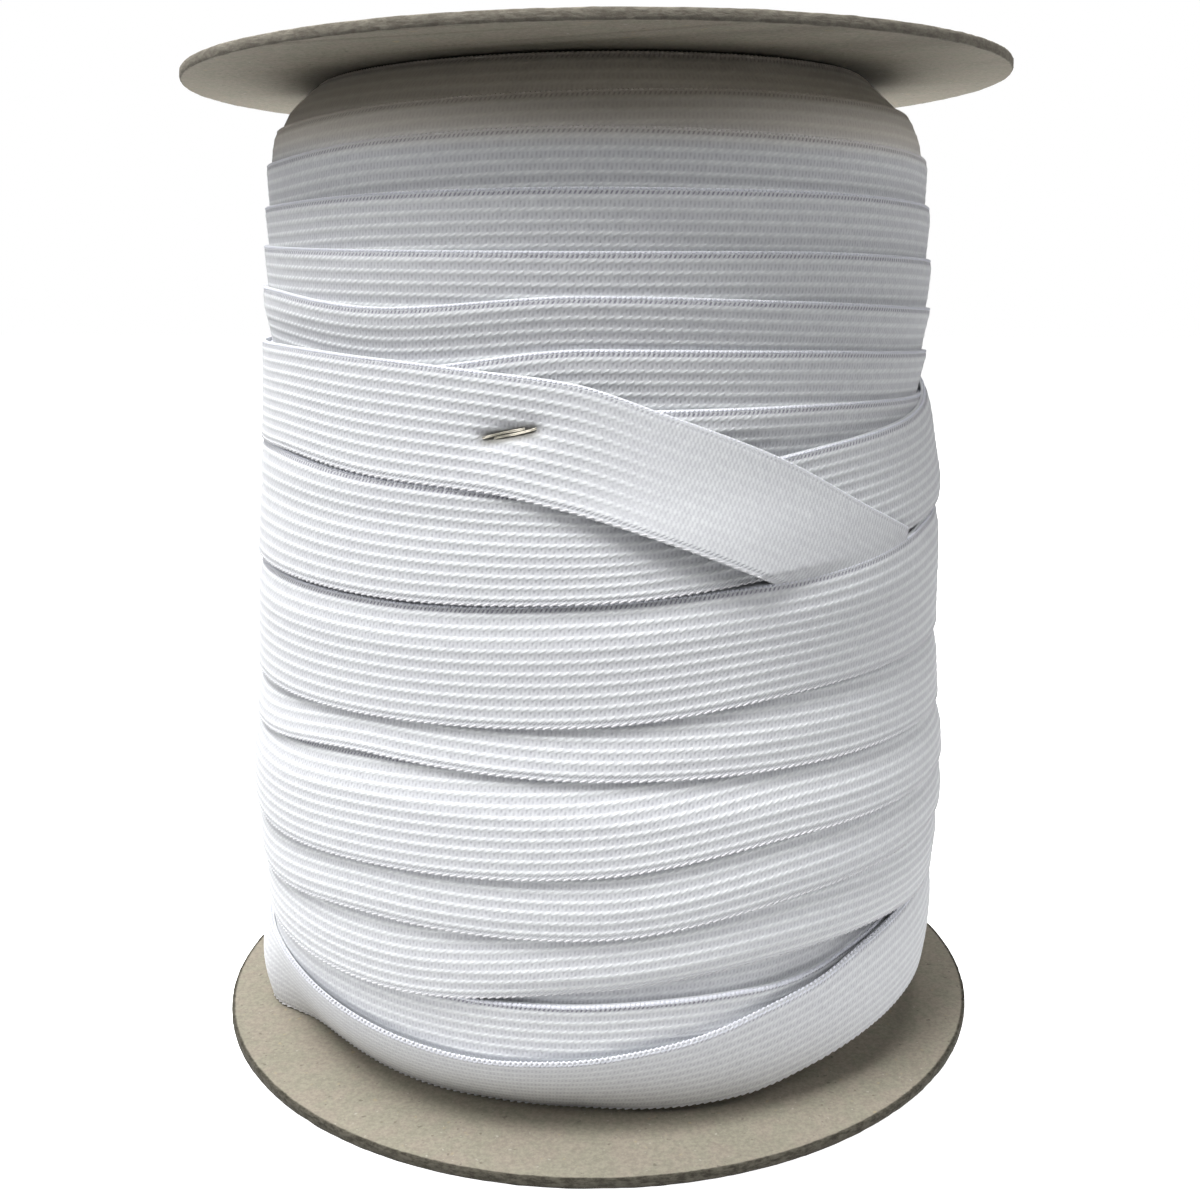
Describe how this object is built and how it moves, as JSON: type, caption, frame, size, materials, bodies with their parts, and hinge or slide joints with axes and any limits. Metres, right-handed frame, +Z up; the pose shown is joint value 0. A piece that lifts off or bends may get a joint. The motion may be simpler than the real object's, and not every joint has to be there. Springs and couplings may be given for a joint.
{
  "type": "roll of elastic",
  "caption": "Reel of white ribbed flat elastic wound between round chipboard flanges, its loose end laid slantwise over the last turns and stapled down.",
  "frame": {"origin": "middle of the reel's footprint, on the surface that the lower flange stands on", "axes": "+Z up along the reel's axis; the front, where the loose end slants down and is stapled, faces -Y"},
  "size_m": [0.2032, 0.2032, 0.2447],
  "materials": {
    "chipboard_lower": "matte, beige grey with fine fibres, rim worn darker",
    "chipboard_upper": "matte, beige grey with fine fibres, rim worn darker",
    "wound_elastic": "white knitted polyester, ribbed lengthways",
    "loose_elastic": "white knitted polyester, ribbed lengthways",
    "steel_wire": "dull galvanised wire"
  },
  "bodies": {
    "root": {"flange_lower": "chipboard_lower", "flange_upper": "chipboard_upper", "roll": "wound_elastic", "end_band": "loose_elastic", "staple": "steel_wire"}
  },
  "joints": []
}
